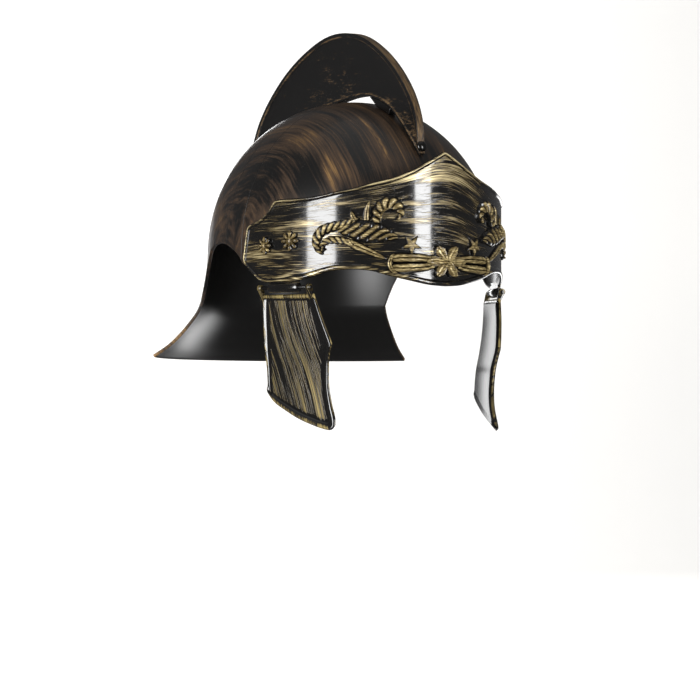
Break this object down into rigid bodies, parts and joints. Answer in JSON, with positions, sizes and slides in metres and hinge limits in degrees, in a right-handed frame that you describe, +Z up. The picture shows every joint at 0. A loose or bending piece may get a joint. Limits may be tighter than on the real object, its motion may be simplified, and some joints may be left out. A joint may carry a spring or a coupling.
{
  "type": "roman costume helmet",
  "caption": "Domed plastic helmet with a brow plate of raised scroll leaves, a crescent crest, a flared neck guard and two hinged cheek guards.",
  "frame": {"origin": "inside of the crown, on the middle plane", "axes": "+Z up, -Y the way the face looks, +X the wearer's left"},
  "size_m": [0.1992, 0.2635, 0.2622],
  "materials": {
    "bowl_plastic": "gloss black moulded plastic, dry-brushed with dark gold paint",
    "plate_plastic": "gloss black moulded plastic, dry-brushed with pale gold paint along its length",
    "crest_plastic": "gloss black moulded plastic, with a little gold paint on its edges",
    "guard_plastic": "gloss black moulded plastic, dry-brushed with olive gold paint downwards",
    "rivet_plastic": "moulded plastic rivet heads, rubbed with gold paint",
    "pin_plastic": "plain gloss black plastic"
  },
  "bodies": {
    "helmet": {"skull_bowl": "bowl_plastic", "brow_plate": "plate_plastic", "crest": "crest_plastic", "crest_peg": "crest_plastic", "crest_stud_front": "pin_plastic", "crest_stud_rear": "pin_plastic", "rosette_left_front": "rivet_plastic", "rosette_left_rear": "rivet_plastic", "hinge_pin_left": "pin_plastic", "rosette_right_front": "rivet_plastic", "rosette_right_rear": "rivet_plastic", "hinge_pin_right": "pin_plastic"},
    "guard_left": {"cheek_guard_left": "guard_plastic"},
    "guard_right": {"cheek_guard_right": "guard_plastic"}
  },
  "joints": [
    {"name": "cheek_hinge_left", "type": "hinge", "parent": "helmet", "child": "guard_left", "pos_m": [0.081, -0.0484, -0.1231], "axis": [-0.3665, -0.9304, 0], "range_deg": [-8, 100]},
    {"name": "cheek_hinge_right", "type": "hinge", "parent": "helmet", "child": "guard_right", "pos_m": [-0.081, -0.0484, -0.1231], "axis": [-0.3665, 0.9304, 0], "range_deg": [-8, 100]}
  ]
}
